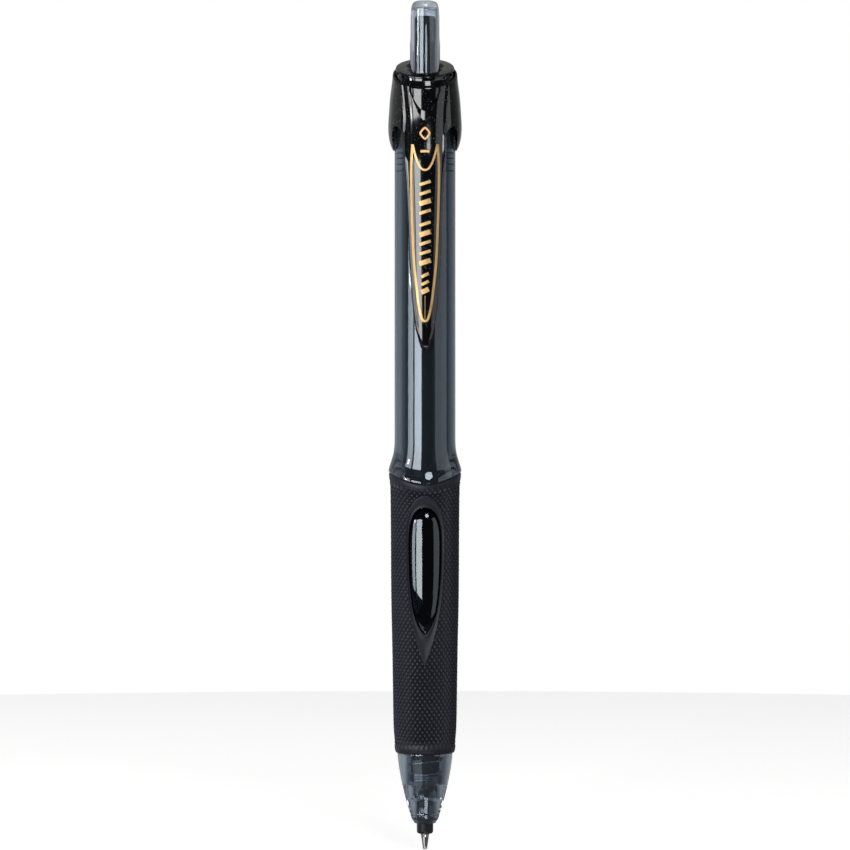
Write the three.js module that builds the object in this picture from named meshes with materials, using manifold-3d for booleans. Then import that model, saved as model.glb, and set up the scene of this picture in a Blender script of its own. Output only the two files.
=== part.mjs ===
// A retractable pen with a rubber grip, tip out.
// Millimetres, +Z up: the pen stands on its writing point at the origin, the clip faces -Y.
import * as THREE from 'three';
import { mergeVertices } from 'three/addons/utils/BufferGeometryUtils.js';
import Module from 'manifold-3d';

const wasm = await Module();
wasm.setup();

// ---- driving dimensions, in mm -------------------------------------------------------------
const LENGTH = 143.5;

const BARREL = { radius: 5.15, bore: 3.9, grooveRadius: 4.4, bottom: 17, top: 126.5 };
const FLARE = { radius: 6.17, lip: 63.4, lower: 63.1, top: 69.2, wave: 1.05 };
const NECK = { radius: 4.95, bottom: 123 };
const GRIP = { bore: 4.55, bottom: 16.4, top: 62.8, topRadius: 6.12 };
const WINDOW = { point: 36.6, shoulder: 52.6, top: 57.8, halfWidth: 2.67, bossRadius: 5.45 };
const SCOOP = { point: 32.2, shoulder: 53, top: 59.4, halfWidth: 3.15, radius: 5.55 };

const CONE = { mouth: 4.5, mouthRadius: 1.86, top: 16.2, topRadius: 4.65, mouthBore: 1.58 };
const SEAT = { bottom: 8.2, bore: 2.05, height: 11.2, springBore: 3.2 };
const THREAD = { crest: 3.75, root: 3.5, pitch: 1.5, turns: 3, top: 22.4 };

const COLLAR = { bore: 5.22, hollow: 5.5, hollowTop: 123.2, bottom: 118 };
const RIM = { height: 131.1, tilt: Math.atan(0.48) };
const ARCH = { inner: 3.5, outer: 6.5, crown: 121.9, spring: 120.7, frontDepth: 1.2 };
const BUSH = { radius: 4.92, bore: 2.8, bottom: 128, height: 132.2, tilt: Math.atan(0.4), funnel: 3.3, funnelDepth: 1 };

const CLIP = { top: 120.4, tip: 84.4, rootTop: 129.4 };

const SLEEVE = { radius: 3.8, bore: 3.42, ribBore: 2.86, bottom: 114.2, top: 127.3, flange: 4.7 };
const SLOTS = 4;
const SLOT_WIDTH = 1.6;
const ROTOR = { radius: 2.2, lugRadius: 2.76, bottom: 106.3, top: 113.4, lugBottom: 109.4, pin: 1.0 };
const TOOTH = { height: 0.5, count: 8 };
const PLUNGER = { core: 1.81, body: 2.4, splineRadius: 3.25, bottom: 114.2, shoulder: 126, top: 140.8 };
const BUTTON = { radius: 2.54, topRadius: 2.37, bore: 1.95, bottom: 126.3, roof: 142.2 };

const SPRING = { radius: 2.78, wire: 0.42, bottom: 11.3, top: 26.9, closedTurns: 3, openTurns: 6 };
const TUBE = { radius: 3.05, bore: 2.4, bottom: 28.4, top: 106 };
const INK = { radius: 2.3, bottom: 32.4, top: 84 };
const FOLLOWER = { top: 92 };
const PLUG = { bottom: 100, lip: 105.2 };
const HOLDER = { noseRadius: 1.4, bottom: 2.7, step: 10.4, neck: 1.85, bodyBottom: 12.8, body: 2.42, shoulder: 27,
  shoulderRadius: 2.95 };
const POINT = { collar: 0.74, tail: 7.4, lip: 0.2, lipBore: 0.335, ballBore: 0.39, feed: 0.28 };
const BALL_RADIUS = 0.35;
const BALL_FLAT = 0.12;

const GAP = 0.3;
const SIDES = 36;
const SMALL_SIDES = 20;

// ---- building blocks -----------------------------------------------------------------------
const v2 = (x, y) => new THREE.Vector2(x, y);

function welded(geometry) {
  const bare = geometry.clone();
  for (const name of ['normal', 'uv']) bare.deleteAttribute(name);
  const merged = mergeVertices(bare, 1e-4);
  const index = merged.getIndex().array;
  const kept = [];
  for (let i = 0; i < index.length; i += 3) {
    const [a, b, c] = [index[i], index[i + 1], index[i + 2]];
    if (a !== b && b !== c && c !== a) kept.push(a, b, c);
  }
  merged.setIndex(kept);
  return merged;
}

function volume(geometry) {
  const at = geometry.getAttribute('position');
  const index = geometry.getIndex().array;
  const [a, b, c] = [new THREE.Vector3(), new THREE.Vector3(), new THREE.Vector3()];
  let total = 0;
  for (let i = 0; i < index.length; i += 3) {
    a.fromBufferAttribute(at, index[i]);
    b.fromBufferAttribute(at, index[i + 1]);
    c.fromBufferAttribute(at, index[i + 2]);
    total += a.dot(b.cross(c)) / 6;
  }
  return total;
}

function outward(geometry) {
  const shape = welded(geometry);
  if (volume(shape) < 0) shape.setIndex(Array.from(shape.getIndex().array).reverse());
  return shape;
}

function solid(geometry) {
  const shape = outward(geometry);
  return new wasm.Manifold(new wasm.Mesh({
    numProp: 3,
    vertProperties: new Float32Array(shape.getAttribute('position').array),
    triVerts: new Uint32Array(shape.getIndex().array),
  }));
}

function geometryOf(manifold) {
  const mesh = manifold.getMesh();
  const geometry = new THREE.BufferGeometry();
  geometry.setAttribute('position', new THREE.BufferAttribute(new Float32Array(mesh.vertProperties), 3));
  geometry.setIndex(Array.from(mesh.triVerts));
  return geometry;
}

// Turns a closed outline of [radius, height] points round the Z axis.
function turned(outline, sides = SIDES) {
  const points = outline.map(([r, z]) => v2(r, z));
  const [first, last] = [points[0], points[points.length - 1]];
  if (first.x > 0 || last.x > 0) points.push(first.clone());
  return outward(new THREE.LatheGeometry(points, sides).rotateX(Math.PI / 2));
}

const rod = (r, z0, z1, sides = SIDES) => turned([[0, z0], [r, z0], [r, z1], [0, z1]], sides);
const pipe = (r0, r1, z0, z1, sides = SIDES) => turned([[r0, z0], [r1, z0], [r1, z1], [r0, z1]], sides);

// A smooth run of [radius, height] points through the stations given.
function flowing(stations, pieces) {
  const curve = new THREE.SplineCurve(stations.map(([r, z]) => v2(r, z)));
  return curve.getPoints(pieces).map((p) => [p.x, p.y]);
}

function arc(r, z, radius, from, to, pieces) {
  return Array.from({ length: pieces + 1 }, (_, i) => {
    const angle = THREE.MathUtils.degToRad(from + ((to - from) * i) / pieces);
    return [r + radius * Math.cos(angle), z + radius * Math.sin(angle)];
  });
}

function mapped(geometry, place) {
  const at = geometry.getAttribute('position');
  const p = new THREE.Vector3();
  for (let i = 0; i < at.count; i += 1) {
    p.fromBufferAttribute(at, i);
    place(p);
    at.setXYZ(i, p.x, p.y, p.z);
  }
  return geometry;
}

// Reads a value off a list of [height, value] stations.
function along(stations, z) {
  const next = stations.findIndex(([height]) => height >= z);
  if (next <= 0) return stations[next === 0 ? 0 : stations.length - 1][1];
  const [[z0, a], [z1, b]] = [stations[next - 1], stations[next]];
  return a + ((b - a) * (z - z0)) / (z1 - z0);
}

function box(x0, x1, y0, y1, z0, z1) {
  const geometry = new THREE.BoxGeometry(x1 - x0, y1 - y0, z1 - z0);
  return geometry.translate((x0 + x1) / 2, (y0 + y1) / 2, (z0 + z1) / 2);
}

// Everything above the sloping plane that meets the axis at the height given.
function above({ height, tilt }) {
  const size = 60;
  const block = new THREE.BoxGeometry(size, size, size).translate(0, 0, size / 2);
  return solid(block.rotateX(tilt).translate(0, 0, height));
}

// A teardrop standing on its point, pushed through the front of the pen.
function teardrop({ point, shoulder, top, halfWidth }, grow = 0) {
  const w = halfWidth + grow;
  const [low, high] = [point - 2 * grow, top + grow];
  const shape = new THREE.Shape();
  shape.moveTo(0, low);
  shape.bezierCurveTo(w * 0.45, low + (shoulder - low) * 0.3, w, low + (shoulder - low) * 0.6, w, shoulder);
  shape.bezierCurveTo(w, shoulder + (high - shoulder) * 0.65, w * 0.5, high, 0, high);
  shape.bezierCurveTo(-w * 0.5, high, -w, shoulder + (high - shoulder) * 0.65, -w, shoulder);
  shape.bezierCurveTo(-w, low + (shoulder - low) * 0.6, -w * 0.45, low + (shoulder - low) * 0.3, 0, low);
  const geometry = new THREE.ExtrudeGeometry(shape, { depth: 10, bevelEnabled: false, curveSegments: 7 });
  return geometry.rotateX(Math.PI / 2);
}

// The edge where the flare meets the grip dips at the front and the back.
function waved(geometry, from, to) {
  return mapped(geometry, (p) => {
    if (Math.hypot(p.x, p.y) < GRIP.bore + 0.1 || p.z < from || p.z > to) return;
    const share = Math.min(1, (p.z - from) / 4, (to - p.z) / 4);
    p.z -= FLARE.wave * Math.cos(2 * Math.atan2(p.x, -p.y)) * share;
  });
}

// ---- barrel, grip and nose -----------------------------------------------------------------
function barrel() {
  const shell = turned([
    [BARREL.bore, BARREL.bottom],
    [BARREL.grooveRadius, BARREL.bottom],
    [BARREL.grooveRadius, FLARE.lower],
    [FLARE.radius - 0.2, FLARE.lower],
    [FLARE.radius, FLARE.lip],
    ...flowing([[5.98, 63.95], [5.79, 64.4], [5.6, 65.05], [5.36, 66.2], [5.2, 67.7], [BARREL.radius, FLARE.top]], 7),
    [BARREL.radius, NECK.bottom],
    [NECK.radius, NECK.bottom + 0.2],
    [NECK.radius, BARREL.top],
    [BARREL.bore, BARREL.top],
  ]);
  const boss = solid(teardrop(WINDOW, -0.2)).intersect(solid(pipe(BARREL.bore + 0.2, WINDOW.bossRadius, 34, 60)));
  const waist = solid(waved(shell, 58, 69));
  return geometryOf(waist.add(boss));
}

function gripSleeve() {
  const sleeve = turned([
    [GRIP.bore, GRIP.bottom],
    ...arc(4.72, GRIP.bottom + 0.3, 0.3, -90, -10, 2),
    ...flowing([[5.2, 17.7], [5.42, 20.5], [5.55, 27], [5.66, 34], [5.84, 43], [5.92, 56],
      [5.98, 60.2], [GRIP.topRadius, GRIP.top - 0.3]], 13),
    [GRIP.topRadius - 0.2, GRIP.top],
    [GRIP.bore, GRIP.top],
  ]);
  const open = solid(teardrop(WINDOW));
  const scoop = solid(teardrop(SCOOP)).subtract(solid(rod(SCOOP.radius, 20, 70)));
  return geometryOf(solid(waved(sleeve, 58, 67)).subtract(open).subtract(scoop));
}

function noseCone() {
  const ridges = Array.from({ length: THREAD.turns }, (_, i) => {
    const foot = CONE.top + 1.2 + i * THREAD.pitch;
    return [[THREAD.root, foot], [THREAD.crest, foot + 0.5], [THREAD.root, foot + 1]];
  }).flat();
  return turned([
    [CONE.mouthBore, CONE.mouth],
    [CONE.mouthRadius - 0.1, CONE.mouth],
    ...flowing([[CONE.mouthRadius, 4.65], [2.28, 5.3], [2.7, 6.7], [3.21, 8.4], [3.55, 10.1], [3.97, 11.7],
      [4.31, 13.4], [4.56, 15.1], [CONE.topRadius, CONE.top]], 9),
    [THREAD.root, CONE.top],
    ...ridges,
    [THREAD.root, THREAD.top],
    [SEAT.springBore, THREAD.top],
    [SEAT.springBore, SEAT.height],
    [SEAT.bore, SEAT.height],
    [SEAT.bore, SEAT.bottom + 0.8],
    [CONE.mouthBore, SEAT.bottom],
  ], 30);
}

// ---- tail ----------------------------------------------------------------------------------
// Half the clip's width, its outer face and its inner face at each height.
const CLIP_WIDTH = [[84.4, 0.42], [84.8, 0.72], [85.4, 0.93], [87, 1.38], [89.5, 1.82], [92.9, 2.2], [99.6, 2.64],
  [106.4, 2.89], [115.7, 3.3], [120, 3.43], [124, 3.53], [127, 3.8], [129.4, 4.1]];
const CLIP_FACE = [[84.4, -6.35], [85.2, -6.75], [88, -7.1], [94, -7.45], [104, -7.7], [112, -7.7], [120, -7.35],
  [125, -6.75], [129.4, -6.1]];
const CLIP_BACK = [[84.4, -6.15], [86, -5.7], [87.4, -5.5], [89.6, -5.5], [92, -6.05], [95, -6.2], [112, -6.3],
  [120.4, -6.0], [129.4, -5.2]];
const CLIP_CROWN = 0.45;

function clipBlock(bottom, top, steps) {
  const block = new THREE.BoxGeometry(2, 1, 1, 4, 1, steps);
  return outward(mapped(block, (p) => {
    const [across, depth] = [p.x, p.y + 0.5];
    const z = bottom + (p.z + 0.5) * (top - bottom);
    const crown = CLIP_CROWN * across * across * Math.min(1, along(CLIP_WIDTH, z) / 2);
    const [face, back] = [along(CLIP_FACE, z) + crown, along(CLIP_BACK, z)];
    p.set(across * along(CLIP_WIDTH, z), face + (back - face) * depth, z);
  }));
}

function arch(side) {
  const shape = new THREE.Shape();
  shape.moveTo(side * ARCH.inner, COLLAR.bottom - 2);
  shape.lineTo(side * ARCH.inner, ARCH.spring);
  shape.quadraticCurveTo(side * 3.9, ARCH.crown, side * 5, ARCH.crown);
  shape.quadraticCurveTo(side * 6.1, ARCH.crown, side * ARCH.outer, COLLAR.bottom - 2);
  const cut = new THREE.ExtrudeGeometry(shape, { depth: 8, bevelEnabled: false, curveSegments: 6 });
  return solid(cut.rotateX(Math.PI / 2).translate(0, -ARCH.frontDepth, 0));
}

function backArch() {
  const shape = new THREE.Shape();
  shape.moveTo(-5.6, COLLAR.bottom - 2);
  shape.quadraticCurveTo(-5, ARCH.crown - 0.4, 0, ARCH.crown - 0.4);
  shape.quadraticCurveTo(5, ARCH.crown - 0.4, 5.6, COLLAR.bottom - 2);
  const cut = new THREE.ExtrudeGeometry(shape, { depth: 8, bevelEnabled: false, curveSegments: 8 });
  return solid(cut.rotateX(Math.PI / 2).translate(0, 8 + ARCH.frontDepth, 0));
}

function tailCollar() {
  const profile = flowing([[5.5, COLLAR.bottom], [6.08, 119.9], [6.25, 122.2], [6.08, 125], [5.9, 127.2],
    [5.62, 129.2], [5.45, 131], [5.4, 135]], 12);
  const outer = solid(turned([[0, COLLAR.bottom], ...profile, [0, 135]]));
  const root = solid(clipBlock(CLIP.top + GAP, CLIP.rootTop, 6));
  const hollow = solid(turned([
    [0, COLLAR.bottom - 1],
    [5.38, COLLAR.bottom - 1],
    [5.38, COLLAR.bottom + 0.6],
    [COLLAR.hollow, 120.4],
    [COLLAR.hollow, COLLAR.hollowTop - 0.3],
    [COLLAR.bore, COLLAR.hollowTop],
    [COLLAR.bore, 136],
    [0, 136],
  ]));
  return geometryOf(
    outer.add(root)
      .subtract(hollow)
      .subtract(arch(-1))
      .subtract(arch(1))
      .subtract(backArch())
      .subtract(solid(box(-ARCH.inner - 0.1, ARCH.inner + 0.1, -9, -1, 110, CLIP.top + GAP)))
      .subtract(above(RIM)),
  );
}

function tailBush() {
  const disc = solid(turned([
    [BUSH.bore, BUSH.bottom],
    [BUSH.radius, BUSH.bottom],
    [BUSH.radius, 136],
    [BUSH.bore, 136],
  ]));
  const funnel = new THREE.CylinderGeometry(BUSH.funnel, BUSH.bore, BUSH.funnelDepth, SIDES)
    .rotateX(Math.PI / 2)
    .translate(0, 0, -BUSH.funnelDepth / 2 + 0.01)
    .rotateX(BUSH.tilt)
    .translate(0, 0, BUSH.height);
  return geometryOf(disc.subtract(above(BUSH)).subtract(solid(funnel)));
}

// ---- click mechanism -----------------------------------------------------------------------
const spoke = (turn, x0, x1, width, z0, z1) => solid(box(x0, x1, -width / 2, width / 2, z0, z1).rotateZ(turn));
const spokes = (make) => Array.from({ length: SLOTS }, (_, i) => make((i * 2 * Math.PI) / SLOTS));

function camSleeve() {
  const wall = turned([
    [SLEEVE.ribBore, SLEEVE.bottom],
    [SLEEVE.radius - 0.2, SLEEVE.bottom],
    [SLEEVE.radius - 0.2, 115.3],
    ...[115.4, 117.3, 119.2].flatMap((z) => [[SLEEVE.radius, z], [SLEEVE.radius, z + 0.5],
      [SLEEVE.radius - 0.2, z + 0.7], [SLEEVE.radius - 0.2, z + 1.1]]),
    [SLEEVE.radius - 0.2, BARREL.top + 0.2],
    [SLEEVE.flange, BARREL.top + 0.2],
    [SLEEVE.flange, SLEEVE.top],
    [SLEEVE.ribBore, SLEEVE.top],
  ], 24);
  const cut = (turn) => spoke(turn, 0, SLEEVE.bore, SLOT_WIDTH, SLEEVE.bottom - 1, BARREL.top - 0.3);
  return geometryOf(spokes(cut).reduce((body, slot) => body.subtract(slot), solid(wall)));
}

// Raises a ring of teeth on every point that lies on the face at the height given.
function crowned(geometry, height, sign) {
  return mapped(geometry, (p) => {
    if (Math.abs(p.z - height) > 1e-3 || Math.hypot(p.x, p.y) < ROTOR.pin + 0.3) return;
    const phase = (Math.atan2(p.y, p.x) * TOOTH.count) / (2 * Math.PI);
    const share = 1 - 2 * Math.abs(phase - Math.round(phase));
    p.z += sign * TOOTH.height * share;
  });
}

function camRotor() {
  const body = turned([
    [0, ROTOR.bottom],
    [1.9, ROTOR.bottom],
    [ROTOR.radius, ROTOR.bottom + 0.5],
    [ROTOR.radius, ROTOR.top],
    [ROTOR.pin + 0.35, ROTOR.top],
    [ROTOR.pin, ROTOR.top],
    [ROTOR.pin, 117.6],
    [ROTOR.pin - 0.3, 118],
    [0, 118],
  ], 32);
  const lug = (turn) => spoke(turn + Math.PI / SLOTS, 1.6, ROTOR.lugRadius, 1.3, ROTOR.lugBottom, ROTOR.top - 0.3);
  const shape = solid(crowned(body, ROTOR.top, 1));
  return geometryOf(spokes(lug).reduce((sum, part) => sum.add(part), shape));
}

function plunger() {
  const body = turned([
    [1.25, PLUNGER.bottom + TOOTH.height],
    [1.5, PLUNGER.bottom + TOOTH.height],
    [PLUNGER.body, PLUNGER.bottom + TOOTH.height],
    [PLUNGER.body, PLUNGER.shoulder],
    [PLUNGER.core, PLUNGER.shoulder],
    [PLUNGER.core, PLUNGER.top - 0.4],
    [PLUNGER.core - 0.4, PLUNGER.top],
    [0, PLUNGER.top],
    [0, 119],
    [1.25, 119],
  ].reverse(), 32);
  const splines = (turn) => spoke(turn, 1.9, PLUNGER.splineRadius, 1.2, PLUNGER.bottom + 1, 120.6);
  const shape = solid(crowned(body, PLUNGER.bottom + TOOTH.height, -1));
  return geometryOf(spokes(splines).reduce((sum, part) => sum.add(part), shape));
}

function buttonCap() {
  return turned([
    [BUTTON.bore, BUTTON.bottom],
    [BUTTON.radius, BUTTON.bottom],
    [BUTTON.radius, 136],
    [2.45, 137.2],
    [2.42, 141],
    [BUTTON.topRadius, 141.6],
    ...arc(1.35, 142.5, 1.0, 10, 90, 4),
    [0, LENGTH],
    [0, BUTTON.roof],
    [BUTTON.bore - 0.5, BUTTON.roof],
    [BUTTON.bore, BUTTON.roof - 0.6],
  ], 28);
}

// ---- refill --------------------------------------------------------------------------------
class Coil extends THREE.Curve {
  constructor({ radius, wire, bottom, top, closedTurns, openTurns }) {
    super();
    Object.assign(this, { radius, bottom: bottom + wire / 2, top: top - wire / 2, closedTurns, openTurns });
    this.turns = 2 * closedTurns + openTurns;
    this.closedPitch = wire * 1.15;
  }

  getPoint(t, target = new THREE.Vector3()) {
    const turn = t * this.turns;
    const closed = this.closedTurns * this.closedPitch;
    const openPitch = (this.top - this.bottom - 2 * closed) / this.openTurns;
    const opened = THREE.MathUtils.clamp(turn - this.closedTurns, 0, this.openTurns);
    const z = this.bottom + (turn - opened) * this.closedPitch + opened * openPitch;
    const angle = turn * 2 * Math.PI;
    return target.set(this.radius * Math.cos(angle), this.radius * Math.sin(angle), z);
  }
}

function coilSpring(spec, stepsPerTurn, sides) {
  const section = new THREE.Shape(new THREE.EllipseCurve(0, 0, spec.wire / 2, spec.wire / 2).getPoints(sides).slice(1));
  const coil = new Coil(spec);
  const steps = Math.round(coil.turns * stepsPerTurn);
  return outward(new THREE.ExtrudeGeometry(section, { steps, extrudePath: coil, bevelEnabled: false }));
}

const refillTube = () => pipe(TUBE.bore, TUBE.radius, TUBE.bottom, TUBE.top, 24);
const inkColumn = () => rod(INK.radius, INK.bottom, INK.top, SMALL_SIDES);
const inkFollower = () => rod(INK.radius, INK.top + GAP, FOLLOWER.top, SMALL_SIDES);

function refillPlug() {
  return turned([
    [0, PLUG.bottom],
    [1.4, PLUG.bottom],
    [2.2, PLUG.bottom + 0.8],
    [2.2, PLUG.lip],
    [2.2, TUBE.top - 0.3],
    [0, TUBE.top - 0.3],
  ], SMALL_SIDES);
}

function tipHolder() {
  return turned([
    [POINT.collar + 0.05, HOLDER.bottom],
    [0.95, HOLDER.bottom],
    ...arc(HOLDER.noseRadius - 0.5, HOLDER.bottom + 0.55, 0.5, -70, 0, 3),
    [HOLDER.noseRadius, HOLDER.step],
    [HOLDER.neck, HOLDER.step + 0.5],
    [HOLDER.neck, HOLDER.bodyBottom],
    [HOLDER.body, HOLDER.bodyBottom + 0.3],
    [HOLDER.body, HOLDER.shoulder],
    [HOLDER.shoulderRadius, HOLDER.shoulder],
    [HOLDER.shoulderRadius, TUBE.bottom - GAP],
    [2.2, TUBE.bottom - GAP],
    [2.2, INK.bottom - GAP],
    [0.9, INK.bottom - GAP],
    [0.9, POINT.tail + 0.4],
    [POINT.collar + 0.05, POINT.tail + 0.2],
  ], SMALL_SIDES);
}

function pointCone() {
  return turned([
    [POINT.lipBore, POINT.lip],
    [POINT.lipBore + 0.03, POINT.lip],
    [0.43, 0.6],
    [0.53, 1.27],
    [0.62, 1.94],
    [0.66, 2.3],
    [POINT.collar, 2.5],
    [POINT.collar, POINT.tail],
    [0.55, POINT.tail],
    [0.55, 1.9],
    [POINT.feed, 1.4],
    [POINT.feed, 0.9],
    [POINT.ballBore, 0.76],
    [POINT.ballBore, 0.38],
  ], SMALL_SIDES);
}

const pointSpring = () => coilSpring(
  { radius: 0.38, wire: 0.12, bottom: 2.1, top: 7.2, closedTurns: 1, openTurns: 6 }, 8, 5);

function writingBall() {
  return turned([
    [0, 0],
    [BALL_FLAT, 0],
    ...arc(0, BALL_RADIUS, BALL_RADIUS, -66, 90, 8).slice(0, -1),
    [0, 2 * BALL_RADIUS],
  ], 16);
}

// ---- the pen -------------------------------------------------------------------------------
const FINISH = {
  smoke: { color: 0x4c545e, roughness: 0.08, metalness: 0, transparent: true, opacity: 0.6 },
  rubber: { color: 0x2a2a30, roughness: 0.75, metalness: 0 },
  black: { color: 0x101114, roughness: 0.15, metalness: 0 },
  satin: { color: 0x15161a, roughness: 0.4, metalness: 0 },
  button: { color: 0xb4c0ce, roughness: 0.06, metalness: 0, transparent: true, opacity: 0.6 },
  guide: { color: 0x3a3f46, roughness: 0.4, metalness: 0 },
  steel: { color: 0xc9ccd1, roughness: 0.25, metalness: 1 },
  ink: { color: 0x08080a, roughness: 0.3, metalness: 0 },
  grease: { color: 0xd8cf9c, roughness: 0.3, metalness: 0 },
  cartridge: { color: 0x14171b, roughness: 0.3, metalness: 0 },
};

const materials = Object.fromEntries(
  Object.entries(FINISH).map(([name, look]) => [name, new THREE.MeshStandardMaterial({ name, ...look })]));

const pen = new THREE.Group();
pen.name = 'retractable_pen';

function fit(name, geometry, finish) {
  const mesh = new THREE.Mesh(geometry, materials[finish]);
  mesh.name = name;
  pen.add(mesh);
}

fit('barrel', barrel(), 'smoke');
fit('grip_sleeve', gripSleeve(), 'rubber');
fit('nose_cone', noseCone(), 'smoke');
fit('tail_collar', tailCollar(), 'black');
fit('clip', clipBlock(CLIP.tip, CLIP.top, 22), 'black');
fit('tail_bush', tailBush(), 'black');
fit('cam_sleeve', camSleeve(), 'guide');
fit('cam_rotor', camRotor(), 'guide');
fit('plunger', plunger(), 'black');
fit('button_cap', buttonCap(), 'button');
fit('return_spring', coilSpring(SPRING, 10, 6), 'steel');
fit('refill_tube', refillTube(), 'cartridge');
fit('ink_column', inkColumn(), 'ink');
fit('ink_follower', inkFollower(), 'grease');
fit('refill_plug', refillPlug(), 'cartridge');
fit('tip_holder', tipHolder(), 'satin');
fit('point_cone', pointCone(), 'steel');
fit('point_spring', pointSpring(), 'steel');
fit('writing_ball', writingBall(), 'steel');

export default pen;
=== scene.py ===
"""Builds a retractable pen with a smoke barrel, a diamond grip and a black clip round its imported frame.

Shapes are drawn in millimetres and scaled to metres when a piece is finished. The pen stands on its point,
+Z up, with its clip towards -Y.
"""

import math

import bmesh
import bpy
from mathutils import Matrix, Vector


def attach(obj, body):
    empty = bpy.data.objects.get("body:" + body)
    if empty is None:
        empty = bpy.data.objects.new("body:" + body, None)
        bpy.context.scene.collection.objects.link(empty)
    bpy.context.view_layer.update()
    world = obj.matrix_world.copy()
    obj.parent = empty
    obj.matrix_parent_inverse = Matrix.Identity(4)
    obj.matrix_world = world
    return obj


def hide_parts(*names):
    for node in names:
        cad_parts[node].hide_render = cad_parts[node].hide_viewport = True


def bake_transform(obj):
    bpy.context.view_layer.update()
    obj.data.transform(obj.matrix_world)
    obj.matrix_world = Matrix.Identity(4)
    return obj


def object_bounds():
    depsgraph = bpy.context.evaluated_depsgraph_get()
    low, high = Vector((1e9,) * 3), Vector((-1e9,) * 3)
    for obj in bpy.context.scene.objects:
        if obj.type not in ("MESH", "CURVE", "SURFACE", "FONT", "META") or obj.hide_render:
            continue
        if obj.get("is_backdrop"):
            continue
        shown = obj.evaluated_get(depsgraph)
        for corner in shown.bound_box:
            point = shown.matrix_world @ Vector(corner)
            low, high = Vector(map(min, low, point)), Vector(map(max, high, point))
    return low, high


bl_info = {
    "name": "Retractable pen",
    "version": (1, 0, 0),
    "blender": (4, 5, 0),
    "location": "View3D > Sidebar > Pen",
    "description": "Builds a retractable pen piece by piece",
    "category": "Object",
}

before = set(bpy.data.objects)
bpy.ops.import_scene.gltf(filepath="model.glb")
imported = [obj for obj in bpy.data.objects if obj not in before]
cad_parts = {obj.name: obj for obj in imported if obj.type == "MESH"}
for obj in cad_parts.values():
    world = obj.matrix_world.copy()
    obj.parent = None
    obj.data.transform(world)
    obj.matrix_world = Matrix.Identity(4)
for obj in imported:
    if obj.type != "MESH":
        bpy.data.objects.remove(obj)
CAD_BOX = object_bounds()

MM = 0.001
UP = Vector((0, 0, 1))


# ---- drawing helpers -------------------------------------------------------------------------


def linear(colour):
    """Turns an sRGB hex colour into linear red, green and blue."""
    parts = [int(colour[i : i + 2], 16) / 255 for i in (1, 3, 5)]
    return tuple(p / 12.92 if p <= 0.04045 else ((p + 0.055) / 1.055) ** 2.4 for p in parts)


def flow(points, pieces=6):
    """Runs a smooth line through points of any dimension."""
    line = []
    for i in range(len(points) - 1):
        a, b, c, d = (Vector(points[min(max(i + k, 0), len(points) - 1)]) for k in (-1, 0, 1, 2))
        for k in range(pieces):
            t = k / pieces
            swing = (c - a) * t + (2 * a - 5 * b + 4 * c - d) * t**2 + (3 * b - a - 3 * c + d) * t**3
            line.append(tuple(b + swing * 0.5))
    return line + [tuple(points[-1])]


def along(stations, z):
    """Reads a value off a list of (height, value) stations, joined by a smooth line."""
    if z <= stations[0][0]:
        return stations[0][1]
    for i in range(len(stations) - 1):
        if z <= stations[i + 1][0]:
            (z0, a), (z1, b) = stations[i], stations[i + 1]
            before, after = stations[max(i - 1, 0)], stations[min(i + 2, len(stations) - 1)]
            rise0 = (b - before[1]) / (z1 - before[0]) * (z1 - z0)
            rise1 = (after[1] - a) / (after[0] - z0) * (z1 - z0)
            t = (z - z0) / (z1 - z0)
            return (
                a * (2 * t**3 - 3 * t**2 + 1)
                + rise0 * (t**3 - 2 * t**2 + t)
                + b * (3 * t**2 - 2 * t**3)
                + rise1 * (t**3 - t**2)
            )
    return stations[-1][1]


def ease(value, low, high):
    """Goes smoothly from 0 at low to 1 at high."""
    t = min(max((value - low) / (high - low), 0), 1)
    return t * t * (3 - 2 * t)


def azimuth(co):
    """Angle round the pen, 0 at the front, where the clip is."""
    return math.atan2(co.x, -co.y)


def lathe(outline, steps=96, closed=True):
    """Spins an outline of (radius, height) points round the pen's axis."""
    bm = bmesh.new()
    verts = [bm.verts.new((0, -r, z)) for r, z in outline]
    pairs = list(zip(verts, verts[1:])) + ([(verts[-1], verts[0])] if closed else [])
    edges = [bm.edges.new(pair) for pair in pairs]
    bmesh.ops.spin(
        bm, geom=verts + edges, cent=(0, 0, 0), axis=UP, angle=math.tau, steps=steps, use_merge=True
    )
    bmesh.ops.remove_doubles(bm, verts=bm.verts, dist=1e-4)
    bmesh.ops.recalc_face_normals(bm, faces=bm.faces)
    return bm


def loft(loops, ring=True, ends=True):
    """Draws the first loop of points and extrudes it through the others, one ring of the surface each."""
    bm = bmesh.new()
    verts = [bm.verts.new(p) for p in loops[0]]
    edges = [bm.edges.new(pair) for pair in zip(verts, verts[1:])]
    if ring:
        edges.append(bm.edges.new((verts[-1], verts[0])))
    first = list(edges)
    for loop in loops[1:]:
        made = bmesh.ops.extrude_edge_only(bm, edges=edges)["geom"]
        new = {g for g in made if isinstance(g, bmesh.types.BMVert)}
        verts = [next(e.other_vert(v) for e in v.link_edges if e.other_vert(v) in new) for v in verts]
        for vert, place in zip(verts, loop):
            vert.co = place
        edges = [bm.edges.get(pair) for pair in zip(verts, verts[1:])]
        if ring:
            edges.append(bm.edges.get((verts[-1], verts[0])))
    if ends:
        bmesh.ops.contextual_create(bm, geom=first)
        bmesh.ops.contextual_create(bm, geom=edges)
        bmesh.ops.recalc_face_normals(bm, faces=bm.faces)
    return bm


def warp(bm, place):
    """Moves every vertex to where place says."""
    for vert in bm.verts:
        vert.co = place(vert.co.copy())


def push(co, change):
    """Moves a point away from the pen's axis."""
    r = math.hypot(co.x, co.y)
    grown = (r + change) / r
    return Vector((co.x * grown, co.y * grown, co.z))


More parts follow.
